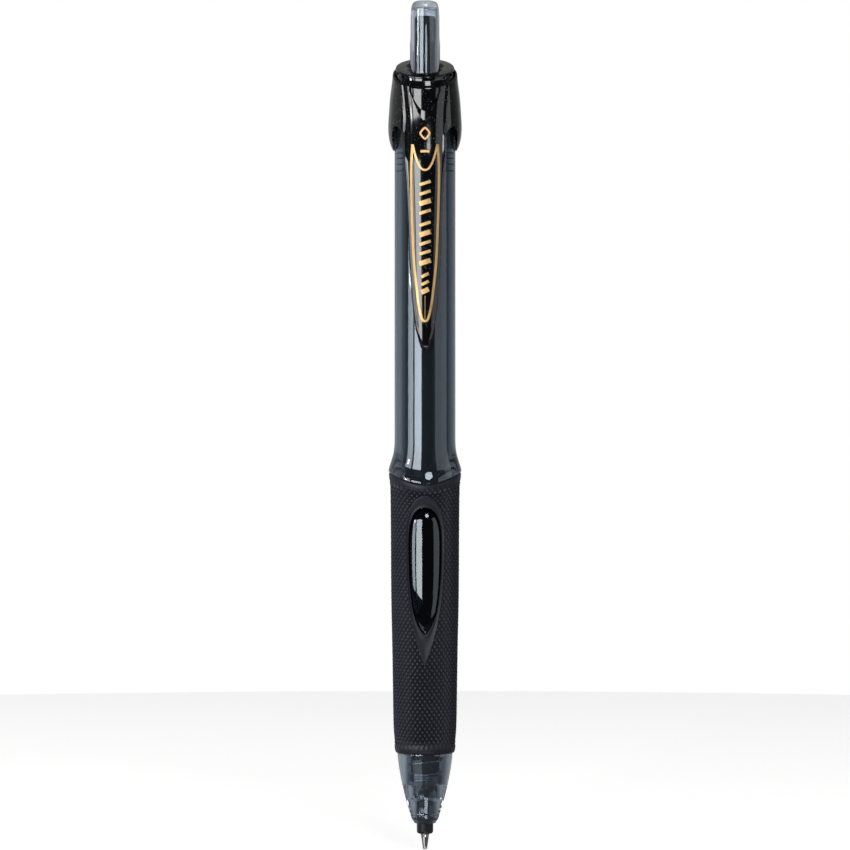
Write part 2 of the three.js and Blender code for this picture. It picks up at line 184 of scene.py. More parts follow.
def raise_faces(bm, faces, change):
    """Extrudes a patch of faces away from the axis."""
    made = bmesh.ops.extrude_face_region(bm, geom=faces)["geom"]
    for vert in (g for g in made if isinstance(g, bmesh.types.BMVert)):
        vert.co = push(vert.co, change)


def join(*parts):
    """Puts several meshes in one."""
    whole = bmesh.new()
    for part in parts:
        mesh = bpy.data.meshes.new("part")
        part.to_mesh(mesh)
        part.free()
        whole.from_mesh(mesh)
        bpy.data.meshes.remove(mesh)
    return whole


def cut(bm, cutter):
    """Takes the cutter's shape out of a mesh."""
    pair = []
    for source in (bm, cutter):
        mesh = bpy.data.meshes.new("cut")
        source.to_mesh(mesh)
        source.free()
        pair.append(bpy.data.objects.new("cut", mesh))
        bpy.context.scene.collection.objects.link(pair[-1])
    modifier = pair[0].modifiers.new("cut", "BOOLEAN")
    modifier.operation = "DIFFERENCE"
    modifier.solver = "EXACT"
    modifier.object = pair[1]
    ready = pair[0].evaluated_get(bpy.context.evaluated_depsgraph_get())
    out = bmesh.new()
    out.from_mesh(ready.to_mesh())
    ready.to_mesh_clear()
    for obj in pair:
        mesh = obj.data
        bpy.data.objects.remove(obj)
        bpy.data.meshes.remove(mesh)
    return out


def piece(bm, name, material, body=None, stands_for=(), crease=34):
    """Finishes a mesh drawn in millimetres: scales it, shades it, and puts it on its body."""
    bmesh.ops.scale(bm, vec=(MM, MM, MM), verts=bm.verts)
    mesh = bpy.data.meshes.new(name)
    bm.to_mesh(mesh)
    bm.free()
    mesh.shade_smooth()
    mesh.set_sharp_from_angle(angle=math.radians(crease))
    mesh.materials.append(material)
    obj = bpy.data.objects.new(name, mesh)
    bpy.context.scene.collection.objects.link(obj)
    if stands_for:
        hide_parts(*stands_for)
    if body:
        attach(obj, body)
    return obj


# ---- material helpers ------------------------------------------------------------------------


def node(tree, kind, sockets=None, **settings):
    """Adds a shader node, with its settings, its values and its links."""
    made = tree.nodes.new(kind)
    for key, value in settings.items():
        setattr(made, key, value)
    for key, value in (sockets or {}).items():
        if isinstance(value, bpy.types.NodeSocket):
            tree.links.new(value, made.inputs[key])
        else:
            made.inputs[key].default_value = value
    return made


def per_mm(size):
    """The texture scale that repeats once in so many millimetres."""
    return 1 / (size * MM)


def finish(name, sockets):
    """Starts a material from one Principled shader, with the values that are the same all over."""
    material = bpy.data.materials.new(name)
    material.use_nodes = True
    tree = material.node_tree
    tree.nodes.clear()
    shader = node(tree, "ShaderNodeBsdfPrincipled", sockets)
    node(tree, "ShaderNodeOutputMaterial", {"Surface": shader.outputs["BSDF"]})
    place = node(tree, "ShaderNodeTexCoord").outputs["Object"]
    return material, tree, shader, place


def mapped(tree, source, start, stop, low, high):
    """Maps one range of values onto another, and holds the ends of it beyond."""
    sockets = {"Value": source, "From Min": start, "From Max": stop, "To Min": low, "To Max": high}
    return node(tree, "ShaderNodeMapRange", sockets).outputs["Result"]


def spread(tree, source, low, high):
    """Maps a noise pattern, most of which lies between 0.3 and 0.7, onto a range of values."""
    return mapped(tree, source, 0.3, 0.7, low, high)


def noise(tree, place, size, detail=2.0, rough=0.5):
    """Cloudy pattern with patches of the size given, in millimetres."""
    sockets = {"Vector": place, "Scale": per_mm(size), "Detail": detail, "Roughness": rough}
    return node(tree, "ShaderNodeTexNoise", sockets).outputs["Fac"]


def blended(tree, share, low, high):
    """Mixes two colours or colour sockets by a share."""
    mix = node(tree, "ShaderNodeMix", data_type="RGBA")
    tree.links.new(share, mix.inputs[0])
    for socket, colour in ((mix.inputs[6], low), (mix.inputs[7], high)):
        if isinstance(colour, bpy.types.NodeSocket):
            tree.links.new(colour, socket)
        else:
            socket.default_value = (*colour, 1)
    return mix.outputs[2]


def relief(tree, shader, height, depth, strength=1.0):
    """Bumps a surface by so many millimetres."""
    bump = node(tree, "ShaderNodeBump", {"Height": height, "Distance": depth * MM, "Strength": strength})
    tree.links.new(bump.outputs["Normal"], shader.inputs["Normal"])


def moulded_clear(name, colour, rough, clear=0.97, wave=0.001, gloss=0.5):
    """Clear polymer, injection moulded and tinted in the mass: glassy, with the faint waves of the mould's
    polish and a haze of handling."""
    sockets = {"Transmission Weight": clear, "IOR": 1.58, "Specular IOR Level": gloss}
    sockets["Specular Tint"] = (0.8, 0.91, 1, 1)
    material, tree, shader, place = finish(name, sockets)
    cloud = noise(tree, place, 5.0)
    deeper = tuple(c * 0.88 for c in colour)
    tree.links.new(blended(tree, spread(tree, cloud, 0, 1), deeper, colour), shader.inputs["Base Color"])
    haze = noise(tree, place, 1.4, 3.0)
    tree.links.new(spread(tree, haze, rough * 0.5, rough), shader.inputs["Roughness"])
    relief(tree, shader, noise(tree, place, 2.2, 1.0), wave)
    return material


def moulded_gloss(name, colour, fleck, rough):
    """ABS, injection moulded in a polished tool: deep black gloss with sparse pale flecks of dust and filler,
    and hairline rub marks that run with the pen."""
    material, tree, shader, place = finish(name, {"IOR": 1.53, "Specular IOR Level": 0.5})
    cells = {"Vector": place, "Scale": per_mm(0.3), "Randomness": 1.0}
    specks = node(tree, "ShaderNodeTexVoronoi", cells, feature="F1")
    dot = mapped(tree, specks.outputs["Distance"], 0.1, 0.2, 1.0, 0.0)
    chosen = mapped(tree, specks.outputs["Color"], 0.45, 0.95, 0.0, 1.0)
    share = node(tree, "ShaderNodeMath", {0: dot, 1: chosen}, operation="MULTIPLY").outputs[0]
    tree.links.new(blended(tree, share, colour, fleck), shader.inputs["Base Color"])
    smear = noise(tree, place, 3.5, 3.0)
    tree.links.new(spread(tree, smear, rough * 0.6, rough * 1.3), shader.inputs["Roughness"])
    # Rub marks are 0.02 mm apart on the real clip; they are drawn 0.12 mm apart, so that they show.
    drawn = node(tree, "ShaderNodeMapping", {"Vector": place, "Scale": (1.0, 1.0, 0.04)}).outputs["Vector"]
    relief(tree, shader, noise(tree, drawn, 0.12, 2.0), 0.0012, 0.6)
    return material


def moulded_satin(name, colour, rough, grain=0.16, gloss=0.5):
    """Acetal or polypropylene from a spark-eroded tool: a soft satin skin with a fine even grain."""
    material, tree, shader, place = finish(name, {"IOR": 1.49, "Specular IOR Level": gloss})
    cloud = noise(tree, place, 2.6)
    paler = tuple(c * 1.35 + 0.002 for c in colour)
    tree.links.new(blended(tree, spread(tree, cloud, 0, 1), colour, paler), shader.inputs["Base Color"])
    fine = noise(tree, place, grain, 2.0)
    tree.links.new(spread(tree, fine, rough * 0.85, rough * 1.15), shader.inputs["Roughness"])
    relief(tree, shader, fine, 0.004)
    return material


def moulded_rubber(name, painted_shade_valley, crown, rough):
    """Styrene rubber, compression moulded from an etched tool: matt, near black, with dusty valleys and a
    fine sandy grain.
    Its diamonds' tops are painted paler and its grooves near black, partly as wear and partly as painted
    highlight and painted shade."""
    sockets = {"IOR": 1.5, "Specular IOR Level": 0.3, "Specular Tint": (0.82, 0.87, 1, 1)}
    sockets.update({"Sheen Weight": 0.04, "Sheen Roughness": 0.45, "Sheen Tint": (0.8, 0.85, 1, 1)})
    material, tree, shader, place = finish(name, sockets)
    height = node(tree, "ShaderNodeAttribute", attribute_name="relief").outputs["Fac"]
    patch = noise(tree, place, 7.0, 3.0)
    rubbed = spread(tree, patch, 0.7, 1.0)
    wear_and_light = node(tree, "ShaderNodeMath", {0: height, 1: rubbed}, operation="MULTIPLY").outputs[0]
    # Painted shade and highlight: near black where the relief attribute is low, in the grooves, and pale
    # where it is high, on the tops, partly as wear.
    base = blended(tree, wear_and_light, painted_shade_valley, crown)
    dust = noise(tree, place, 0.3, 3.0, 0.7)
    dusted = mapped(tree, dust, 0.62, 0.75, 0.0, 0.35)
    paler = tuple(c * 1.6 for c in crown)
    tree.links.new(blended(tree, dusted, base, paler), shader.inputs["Base Color"])
    tree.links.new(spread(tree, patch, rough * 0.92, rough * 1.08), shader.inputs["Roughness"])
    # The tool's grit leaves a 0.05 mm grain; it is drawn at 0.14 mm, so that it shows.
    relief(tree, shader, noise(tree, place, 0.14, 3.0, 0.6), 0.007)
    return material


def metal(name, colour, rough, grain, stretch, depth):
    """A metal whose tool or die has left fine lines: stretch says which way they run."""
    material, tree, shader, place = finish(name, {"Metallic": 1.0})
    drawn = node(tree, "ShaderNodeMapping", {"Vector": place, "Scale": stretch}).outputs["Vector"]
    lines = noise(tree, drawn, grain, 3.0)
    darker = tuple(c * 0.72 for c in colour)
    tree.links.new(blended(tree, spread(tree, lines, 0, 1), darker, colour), shader.inputs["Base Color"])
    tree.links.new(spread(tree, lines, rough * 0.75, rough * 1.25), shader.inputs["Roughness"])
    relief(tree, shader, lines, depth)
    return material


# ---- sizes and colours -----------------------------------------------------------------------


def length(name, description, size):
    """A length property, given in millimetres."""
    return bpy.props.FloatProperty(
        name=name, description=description, default=size * MM, min=0, precision=5, unit="LENGTH"
    )


def paint(name, description, colour):
    """A colour property, given as sRGB hex."""
    return bpy.props.FloatVectorProperty(
        name=name, description=description, default=linear(colour), size=3, min=0, max=1, subtype="COLOR"
    )


class PenSizes(bpy.types.PropertyGroup):
    """Sizes that change the pen's look without moving its joints."""

    barrel_radius: length("Barrel radius", "Outside radius of the clear barrel", 5.15)
    flare_radius: length("Flare radius", "Radius of the barrel's lip above the grip", 6.17)
    wave: length("Wave", "How far the grip's upper edge dips at the front and back", 1.05)
    diamond_depth: length("Diamond depth", "Height of the grip's diamonds", 0.34)
    diamonds: bpy.props.IntProperty(
        name="Diamonds", description="Diamonds in one row round the grip", default=40, min=8, max=80
    )
    diamond_row: length("Diamond row", "Height of half a diamond along the pen", 0.575)
    print_width: length("Print width", "Width of the foil line on the clip", 0.4)
    spring_wire: length("Spring wire", "Thickness of the return spring's wire", 0.42)


class PenColours(bpy.types.PropertyGroup):
    """Colours of the pen's materials."""

    smoke: paint("Smoke", "Barrel tint", "#6c7987")
    # The window colour is painted shade on the barrel's own smoke plastic.
    window: paint("Window", "Smoke of the boss in the grip's window, painted darker as shade", "#15191e")
    nose: paint("Nose", "Nose cone tint", "#a2adbb")
    button: paint("Button", "Push button tint", "#e2e9f2")
    black: paint("Black", "Clip and collar", "#050608")
    fleck: paint("Fleck", "Pale flecks in the black", "#a4a6aa")
    # The grip's groove colour is painted shade; its top colour is partly wear and partly painted highlight.
    rubber: paint("Rubber", "Grip between its diamonds", "#010102")
    rubber_top_wear_and_light: paint("Rubber tops, rubbed and lit", "Tops of the grip's diamonds", "#33333d")
    core: paint("Core", "Plunger inside the button", "#0a0d12")
    holder: paint("Holder", "Refill's front end", "#101216")
    cartridge: paint("Cartridge", "Refill tube", "#0c0e12")
    guide: paint("Guide", "Cams of the click mechanism", "#4a535e")
    foil: paint("Foil", "Hot-stamped print", "#e2bd85")
    steel: paint("Steel", "Turned point", "#dcdde0")
    wire: paint("Wire", "Springs", "#c4c8ce")
    carbide: paint("Carbide", "Writing ball", "#7d7f84")
    ink: paint("Ink", "Ink in the tube", "#060608")
    grease: paint("Grease", "Follower behind the ink", "#d8cf9c")
    floor: paint("Floor", "Paper under the pen", "#f2f2f0")


def sizes():
    """The pen's sizes, in metres where they are lengths."""
    return bpy.context.scene.pen_sizes


def mm(value):
    """A length property's value in millimetres."""
    return value / MM


def colours():
    """The colours of the pen's materials, in linear light."""
    return bpy.context.scene.pen_colours


# ---- barrel ----------------------------------------------------------------------------------

BORE = 3.9
NECK = 4.4
GRIP_CLEAR = 4.65  # What is nearer the axis than this lies under the grip.
WAVE_FADE = 4
BOSS_MIDDLE = 50.5
BOSS_TIGHTER = 0.8
DOME_FROM = 54.9
DOME_DROP = 0.09


def waved(co, low, high):
    """The edge where the flare meets the grip dips at the front and the back."""
    if math.hypot(co.x, co.y) < GRIP_CLEAR or not low < co.z < high:
        return co
    share = min(1, (co.z - low) / WAVE_FADE, (high - co.z) / WAVE_FADE)
    co.z -= mm(sizes().wave) * math.cos(2 * azimuth(co)) * share
    return co


WINDOW = [(0, 36.5), (0.5, 36.95), (1.36, 38.4), (2.1, 40.8), (2.54, 44), (2.76, 48), (2.8, 52), (2.6, 54.7),
          (1.95, 56.7), (1.0, 57.65), (0, 57.9)]
SCOOP = [(0, 31.8), (0.45, 32.8), (1.0, 34.3), (1.5, 35.9), (2.1, 38.4), (2.68, 42), (3.05, 46.5), (3.22, 52),
         (3.05, 55.2), (2.4, 57.8), (1.3, 59.25), (0, 59.7)]


def teardrop(side, count=120):
    """Outline of a teardrop from the stations up one side, as evenly spaced (across, height) points."""
    run = [Vector(p) for p in flow(side, 12)]
    run += [Vector((-p.x, p.y)) for p in reversed(run[1:-1])]
    run.append(run[0])
    reach = [0.0]
    for one, two in zip(run, run[1:]):
        reach.append(reach[-1] + (two - one).length)
    outline, at = [], 0
    for i in range(count):
        goal = reach[-1] * i / count
        while reach[at + 1] < goal:
            at += 1
        share = (goal - reach[at]) / (reach[at + 1] - reach[at])
        outline.append(tuple(run[at].lerp(run[at + 1], share)))
    return outline


def on_front(outline, radius, tighter=0.0):
    """Lays an outline on the front of the pen, at a radius for each height, or on a tighter curve."""
    laid = []
    for x, z in outline:
        reach = radius(z) - tighter
        laid.append(Vector((x, -tighter - math.sqrt(max(reach**2 - x * x, 0.01)), z)))
    return laid


def domed(radius):
    """Radius of the window's boss for each height, less and less towards its rounded top."""
    return lambda z: radius - DOME_DROP * max(z - DOME_FROM, 0) ** 2


class PEN_OT_barrel(bpy.types.Operator):
    """Clear barrel with its flare, and the boss that fills the grip's window"""

    bl_idname = "pen.barrel"
    bl_label = "Barrel"

    def execute(self, context):
        r, lip = mm(sizes().barrel_radius), mm(sizes().flare_radius)
        bottom = [(BORE, 17.2), (4.05, 17), (NECK, 17), (NECK, 62.74)]
        bead = [(lip - 0.3, 62.78), (lip - 0.07, 62.83), (lip, 62.95), (lip - 0.02, 63.1)]
        flare = [(lip - 0.07, 63.4), (5.97, 63.87), (5.79, 64.4), (5.6, 65.05)]
        flare += [(5.36, 66.2), (5.2, 67.7), (r, 69.3)]
        tail = [(r, 122.7), (r - 0.05, 122.85), (4.95, 123.05), (4.95, 126.3), (4.85, 126.5)]
        tail += [(4.0, 126.5), (BORE, 126.4), (BORE, 72)]
        shell = lathe([*bottom, *flow(bead, 4), *flow(flare, 7), *tail], 128)
        warp(shell, lambda co: waved(co, 58, 69))
        smoke = moulded_clear("Polystyrene smoke moulded", colours().smoke, 0.03, 0.95)
        piece(shell, "barrel_shell", smoke, "barrel", ["barrel"])

        rings = [(1, 4.45), (1, 4.98), (0.985, 5.14), (0.95, 5.27), (0.88, 5.37), (0.76, 5.43)]
        rings += [(0.58, 5.455), (0.38, 5.46), (0.2, 5.46), (0.06, 5.46)]
        edge = teardrop(WINDOW)
        loops = []
        for share, radius in rings:
            scaled = [(x * share, BOSS_MIDDLE + (z - BOSS_MIDDLE) * share) for x, z in edge]
            loops.append(on_front(scaled, domed(radius), BOSS_TIGHTER))
        boss = loft(loops)
        # Painted shade: the boss is the barrel's own smoke plastic, drawn near black because the grip keeps
        # light from behind it.
        smoke_painted_shade = moulded_clear("Polystyrene smoke with painted shade", colours().window, 0.03, 0.9)
        piece(boss, "barrel_window", smoke_painted_shade, "barrel")
        return {"FINISHED"}


# ---- grip ------------------------------------------------------------------------------------

SLEEVE_LINE = [(17.25, 5.13), (20.5, 5.42), (27, 5.55), (34, 5.66), (43, 5.84), (56, 5.92), (60.2, 5.98),
               (62.4, 6.1)]
GRIP_BORE = 4.55
PATTERN_FOOT = 17.25
PATTERN_TOP = 62.3
PEAK_FLAT = 0.2
# How pale the rubber is painted, from 0 in a groove, as painted shade, to 1 on a diamond's top, as wear and
# painted highlight.
PLAIN_WEAR_AND_LIGHT = 0.3
SCOOP_WEAR_AND_LIGHT = 0.25


class PEN_OT_grip(bpy.types.Operator):
    """Rubber sleeve with its moulded diamonds, and the smooth scoop round its window"""

    bl_idname = "pen.grip"
    bl_label = "Grip"

    def execute(self, context):
        steps, row = 2 * sizes().diamonds, mm(sizes().diamond_row)
        deep = mm(sizes().diamond_depth)
        rows = int((PATTERN_TOP - PATTERN_FOOT) / row)
        heights = [PATTERN_FOOT + i * row for i in range(rows + 1)]
        skirt = [(4.62, 16.4), (4.82, 16.42), (4.98, 16.56), (5.06, 16.8)]
        skin = [(along(SLEEVE_LINE, z), z) for z in heights]
        crown = [(6.1, 62.45), (6.07, 62.62), (5.95, 62.73), (4.65, 62.74)]
        sleeve = lathe([(GRIP_BORE, 16.45), *skirt, *skin, *crown, (GRIP_BORE, 62.7)], steps)
        height = sleeve.verts.layers.float.new("relief")

        def cell(vert):
            """Column and row of a vertex in the diamond pattern, or None off the pattern."""
            co = vert.co
            if math.hypot(co.x, co.y) < GRIP_CLEAR + 0.3:
                return None
            level = round((co.z - PATTERN_FOOT) / row)
            if abs(co.z - PATTERN_FOOT - level * row) > 0.01 or not 0 < level < rows:
                return None
            return round(azimuth(co) / math.tau * steps) % steps, level

        cells = {vert: cell(vert) for vert in sleeve.verts}
        for face in list(sleeve.faces):
            low = [v for v in face.verts if cells[v] and sum(cells[v]) % 2]
            if len(face.verts) == 4 and len(low) == 2:
                bmesh.utils.face_split(face, *low)
        peaks = []
        # Grooves get 0 for painted shade, tops get 1 for wear and painted highlight, and plain bands get a
        # middle paleness.
        for vert, found in cells.items():
            if found is None:
                vert[height] = PLAIN_WEAR_AND_LIGHT
            elif sum(found) % 2:
                fade = ease(min(found[1], rows - found[1]), 0, 2)
                vert.co = push(vert.co, -deep * fade)
                vert[height] = PLAIN_WEAR_AND_LIGHT * (1 - fade)
            else:
                vert[height] = 1.0
                peaks.append(vert)
        bmesh.ops.bevel(
            sleeve, geom=peaks, offset=PEAK_FLAT, segments=1, profile=0.5, affect="VERTICES", material=-1
        )
        warp(sleeve, lambda co: waved(co, 58, 67))

        rubber = moulded_rubber("Styrene rubber moulded", colours().rubber, colours().rubber_top_wear_and_light, 0.5)
        rim, mouth = teardrop(SCOOP), teardrop(WINDOW)
        outside, within = -9, -2.5
        sleeve = cut(sleeve, loft([[Vector((x, y, z)) for x, z in rim] for y in (outside, within)]))
        piece(sleeve, "grip_diamonds", rubber, "barrel", ["grip_sleeve"], crease=14)

        def between(share, drop):
            """A ring part of the way from the scoop's rim to the window, sunk below the sleeve's surface."""
            ring = [(a + (c - a) * share, b + (d - b) * share) for (a, b), (c, d) in zip(rim, mouth)]
            return on_front(ring, lambda z: along(SLEEVE_LINE, z) - drop)

        steps_in = [(-0.16, 0.55), (-0.13, 0.2), (-0.06, 0.13), (0, 0.12), (0.12, 0.16), (0.3, 0.24)]
        steps_in += [(0.5, 0.33), (0.7, 0.4), (0.84, 0.41), (0.92, 0.37), (0.97, 0.39), (1.0, 0.46)]
        steps_in += [(1.01, 0.6), (1.01, 1.1)]
        scoop = loft([between(*step) for step in flow(steps_in, 2)], ends=False)
        bmesh.ops.recalc_face_normals(scoop, faces=scoop.faces)
        if sum(f.normal.y for f in scoop.faces) > 0:
            bmesh.ops.reverse_faces(scoop, faces=scoop.faces)
        # The scoop gets a middle paleness, between the painted shade of the grooves and the painted highlight
        # of the tops.
        layer = scoop.verts.layers.float.new("relief")
        for vert in scoop.verts:
            vert[layer] = SCOOP_WEAR_AND_LIGHT
        bmesh.ops.solidify(scoop, geom=scoop.faces, thickness=0.12)
        piece(scoop, "grip_scoop", rubber, "barrel", crease=60)
        return {"FINISHED"}


# ---- nose ------------------------------------------------------------------------------------

CONE_STEPS = 96


class PEN_OT_nose(bpy.types.Operator):
    """Clear nose cone with its spring seat, guide ribs and screw thread"""

    bl_idname = "pen.nose"
    bl_label = "Nose cone"

    def execute(self, context):
        mouth = [(1.58, 4.62), (1.64, 4.52), (1.74, 4.5), (1.83, 4.56)]
        lower = flow([(1.88, 4.68), (2.28, 5.3), (2.49, 5.98)], 5)
        ring = [(2.42, 6.01), (2.41, 6.16), (2.56, 6.2)]
        upper = [(2.58, 6.25), (2.7, 6.7), (3.22, 8.4), (3.64, 10.1), (3.99, 11.7), (4.31, 13.4)]
        upper = flow([*upper, (4.56, 15.1), (4.65, 16.2)], 5)
        thread = [(4.63, 16.34), (4.5, 16.37), (3.5, 16.37)]
        for turn in range(3):
            foot = 17.4 + turn * 1.5
            thread += [(3.5, foot), (3.75, foot + 0.45), (3.75, foot + 0.55), (3.5, foot + 1)]
        inside = [(3.5, 22.3), (3.4, 22.4), (3.2, 22.4), (3.2, 11.35), (3.15, 11.2), (2.1, 11.2)]
        inside += [(2.05, 11.1), (2.05, 9.0), (1.66, 8.6), (1.58, 8.45)]
        cone = lathe([*mouth, *lower, *ring, *upper, *thread, *inside], CONE_STEPS)
        ribs = []
        for face in cone.faces:
            centre = face.calc_center_median()
            step = int(azimuth(centre) / math.tau * CONE_STEPS + CONE_STEPS)
            if 9 < centre.z < 11.1 and math.hypot(*centre.xy) < 2.2 and step % 12 in (0, 1):
                ribs.append(face)
        raise_faces(cone, ribs, -0.3)
        clear = moulded_clear("Polycarbonate nose moulded", colours().nose, 0.025)
        piece(cone, "nose_cone_shell", clear, "nose", ["nose_cone"])
        return {"FINISHED"}


# ---- tail ------------------------------------------------------------------------------------

COLLAR_LINE = [(118, 5.32), (118.5, 5.6), (119.2, 5.86), (120, 6.06), (121, 6.19), (122.2, 6.232),
               (125, 6.07), (127.2, 5.9), (129.2, 5.64), (131, 5.46), (134.5, 5.4)]
LOBE_LINE = [
    (0, 120.5), (33, 120.5), (38, 120.95), (44, 121.5), (50, 121.85), (56, 121.95), (60, 121.7), (63, 121.1),
    (66, 120.1), (69, 119.2), (73, 118.5), (80, 118.08), (88, 118.0), (98, 118.1), (107, 118.6), (115, 119.5),
    (123, 120.6), (134, 121.4), (150, 121.5), (180, 121.5),
]
LEAN_FROM = 124.0
RIM = 131.1
SLOPE = 0.48
DISC_SLOPE = 0.4
DISC_STEPS = 120
COLLAR_BORE = 5.5


def sloped(co):
    """Leans the tail's top back, more and more towards the rim."""
    co.z += SLOPE * co.y * ease(co.z, LEAN_FROM, RIM)
    return co


class PEN_OT_collar(bpy.types.Operator):
    """Collar with its side lobes, and the sloping disc inside its rim"""

    bl_idname = "pen.collar"
    bl_label = "Collar"

    def execute(self, context):
        # The wall is drawn first as a tube 1 mm thick, so that a radius says how far through it a point is.
        foot, shoulder, settle, drawn, dent = 118.0, 123.5, 0.35, 5, 5.5
        up = [foot + rise for rise in (0.16, 0.35, 0.6, 1.0, 1.5, 2.1, 2.8, 3.6, 4.5)]
        up += [shoulder, 124.2, 125, 126, 127, 128, 129, 130]
        wall = [(0.82, foot + 0.03), (0.95, foot + 0.08), *[(1, z) for z in up]]
        wall += [(1, 130.85), (0.96, 130.98), (0.86, 131.07), (0.72, RIM), (0.2, RIM), (0.06, 131.05)]
        wall += [(0, 130.95), *[(0, z) for z in reversed(up)], (0.1, foot + 0.05), (0.45, foot)]
        shell = lathe([(drawn + share, z) for share, z in wall], 240)

        def shaped(co):
            """Moves a point of the tube to the collar's real wall, with its lobes, lean and dented front."""
            share = math.hypot(co.x, co.y) - drawn
            turn = math.degrees(abs(azimuth(co)))
            low = along(LOBE_LINE, turn)
            rise = co.z - foot
            if co.z < shoulder:
                room = (shoulder - low - settle) / (shoulder - foot - settle)
                co.z = low + (rise if rise < settle else settle + (rise - settle) * room)
            place = sloped(co)
            outside = along(COLLAR_LINE, place.z)
            edge = 30 + 9 * ease(place.z, 124, 128.5)
            outside += (dent - outside) * ease(turn, edge + 5, edge) * ease(place.z, 120.5, 121.5)
            inside = COLLAR_BORE
            for closer, start, stop in ((0.28, 119.6, 118.0), (0.28, 122.7, 123.3), (0.1, 125, 127)):
                inside -= closer * ease(place.z, start, stop)
            radius = inside + share * (outside - inside)
            angle = azimuth(co)
            return Vector((radius * math.sin(angle), -radius * math.cos(angle), place.z))

        warp(shell, shaped)
        black = moulded_gloss("ABS black moulded", colours().black, colours().fleck, 0.1)
        piece(shell, "tail_collar_shell", black, "barrel", ["tail_collar"], crease=50)

        low, top, hole = 128.9, 132.2, 2.64
        side = [(5.08, low), (5.08, 130.2), (4.72, 131.35), (4.7, 131.75)]
        lip = [(4.9, 131.82), (4.97, 131.92), (4.97, 132.02), (4.93, 132.12), (4.85, 132.18), (4.72, top)]
        funnel = [(3.35, top), (3.25, top - 0.04), (3.16, top - 0.12), (2.74, top - 0.45), (hole, top - 0.55)]
        disc = lathe([*side, *lip, *funnel, (hole, low)], DISC_STEPS)
        ribs = []
        for face in disc.faces:
            centre = face.calc_center_median()
            step = int(azimuth(centre) / math.tau * DISC_STEPS + DISC_STEPS + 2)
            if 131.35 < centre.z < 131.75 and math.hypot(centre.x, centre.y) > 4.5 and step % 8 < 1:
                ribs.append(face)
        raise_faces(disc, ribs, 0.3)
        warp(disc, lambda co: Vector((co.x, co.y, co.z + DISC_SLOPE * co.y)))
        piece(disc, "tail_disc", black, "barrel", ["tail_bush"], crease=12)
        return {"FINISHED"}


# ---- clip ------------------------------------------------------------------------------------

CLIP_TIP = 84.4
CLIP_WIDTH = [(84.4, 0.42), (84.8, 0.72), (85.4, 0.93), (87, 1.38), (89.5, 1.82), (92.9, 2.2), (99.6, 2.64),
              (106.4, 2.89), (115.7, 3.3), (120, 3.43), (124, 3.53), (127, 3.8), (129.4, 4.1)]
CLIP_FACE = [(84.4, -6.5), (84.65, -6.82), (85.2, -7.05), (88, -7.2), (94, -7.43), (101, -7.61), (108, -7.66),
             (113, -7.64), (115.5, -7.53), (117.2, -7.28), (119, -6.92), (121, -6.53), (123, -6.19),
             (125, -5.97), (127, -5.86), (129.4, -5.76)]
CLIP_BACK = [(84.4, -6.15), (86, -5.7), (87.4, -5.5), (89.6, -5.5), (92, -6.05), (95, -6.2), (112, -6.3),
             (119.5, -6.1), (120.9, -5.2), (129.4, -5.2)]
CLIP_CROWN = [(84.4, 0.3), (86, 0.5), (89, 0.8), (93, 1.0), (122, 1.0), (126, 0.9), (129.4, 0.85)]
FACE_SLOPE = [(0, 0), (0.26, 0.12), (0.6, 0.36), (0.7, 0.78), (1, 0.85)]
# The hollow in the clip's face runs between two bowls, each with its depth, foot, half width and height.
BOWLS = ((-9, 116.9, 4.1, 14.9), (-5, 125.47, 2.56, 1.98))
BOWL_STEPS = 24
FOIL_PROUD = 0.03


def clip_face(x, z):
    """Depth of the clip's outer face: all but flat in the middle, then falling away to its edges."""
    half = along(CLIP_WIDTH, z)
    fall = 0
    for (start, slope), (stop, steeper) in zip(FACE_SLOPE, FACE_SLOPE[1:]):
        reach = min(max(abs(x) / half - start, 0), stop - start)
        fall += reach * (slope + (steeper - slope) * reach / (stop - start) / 2)
    return along(CLIP_FACE, z) + along(CLIP_CROWN, z) * half * fall


def clip_section(z):
    """The clip's outline at one height, from the left of its face round to its back."""
    half = along(CLIP_WIDTH, z)
    bevel = min(0.46, half * 0.45)
    flat = half - bevel
    face = [Vector((flat * (i / 10 - 1), 0, z)) for i in range(21)]
    for co in face:
        co.y = clip_face(co.x, z)
    shoulder = clip_face(flat, z)
    back = max(along(CLIP_BACK, z), shoulder + 0.12)
    drop = min(0.34, (back - shoulder) * 0.5)
    turn = [(0.04, 0.01), (0.5, 0.34), (0.93, 0.8), (1.0, 1.0)]
    right = [Vector((flat + bevel * a, shoulder + drop * b, z)) for a, b in turn]
    right += [Vector((half, back - 0.06, z)), Vector((half - 0.06, back, z))]
    left = [Vector((-co.x, co.y, z)) for co in reversed(right)]
    return face + right + left


def ribbon(path, width):
    """A foil line along a path of (across, height) points on the clip's face."""
    points = [Vector(p) for p in path]
    sides = []
    for i, at in enumerate(points):
        ahead = (points[min(i + 1, len(points) - 1)] - points[max(i - 1, 0)]).normalized()
        sides.append(Vector((-ahead.y, ahead.x)) * width / 2)
    loops = []
    for k in (-1, -0.5, 0, 0.5, 1):
        flat = [at + side * k for at, side in zip(points, sides)]
        loops.append([Vector((p.x, clip_face(p.x, p.y) - FOIL_PROUD, p.y)) for p in flat])
    return loft(loops, ring=False, ends=False)


def both_sides(side):
    """A path down one side and up the other, from stations down one side to the middle."""
    return [(-x, z) for x, z in side] + [(x, z) for x, z in reversed(side[:-1])]


def pinched(value):
    """Pulls a cosine or sine in, so that a circle becomes a lozenge with curved sides."""
    return abs(value) ** 1.6 * math.copysign(1, value)


